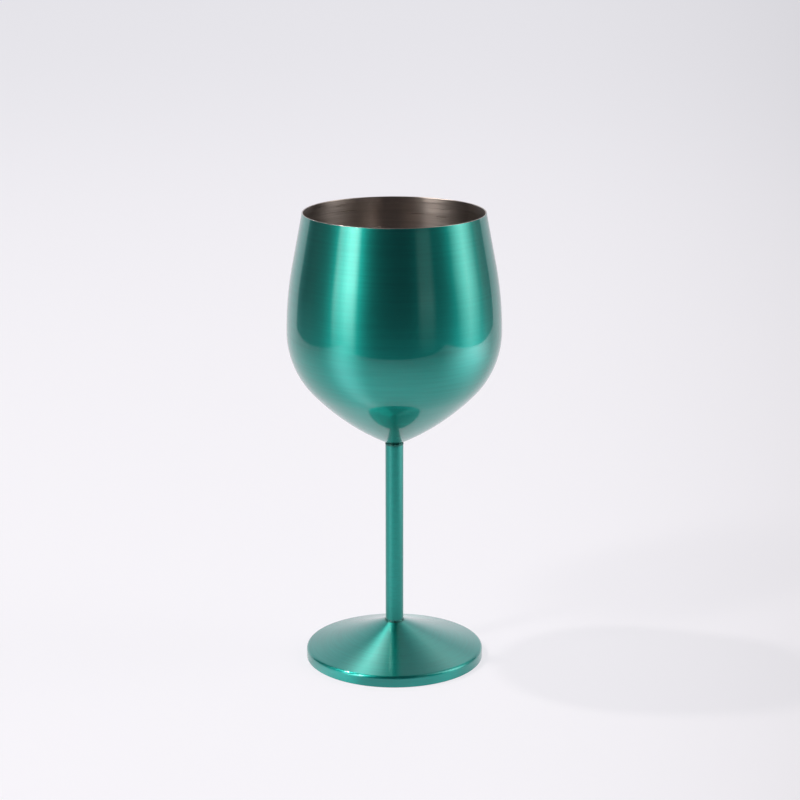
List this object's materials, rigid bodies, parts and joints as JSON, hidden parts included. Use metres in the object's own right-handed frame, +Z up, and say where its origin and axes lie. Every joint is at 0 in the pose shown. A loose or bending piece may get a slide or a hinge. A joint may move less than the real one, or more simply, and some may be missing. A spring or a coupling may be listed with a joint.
{
  "type": "stemmed steel wine goblet",
  "caption": "Stemmed steel wine goblet: thin drawn bowl with a narrowed mouth, slim tube stem and low conical foot, green lacquer outside and bare brushed steel inside.",
  "frame": {"origin": "centre of the foot's underside, on the plane that the goblet stands on", "axes": "+Z up along the stem, out of the mouth"},
  "size_m": [0.0944, 0.0944, 0.2043],
  "materials": {
    "lacquered_steel": "clear green-teal lacquer over steel brushed round the axis",
    "bare_steel": "bare stainless steel, brushed round the axis",
    "scorched_weld": "heat-darkened weld under the same lacquer"
  },
  "bodies": {
    "root": {"bowl": "lacquered_steel", "stem_tube": "lacquered_steel", "foot_shell": "lacquered_steel", "base_plate": "bare_steel", "upper_weld": "scorched_weld", "lower_weld": "scorched_weld", "base_seam_weld": "bare_steel"}
  },
  "joints": []
}
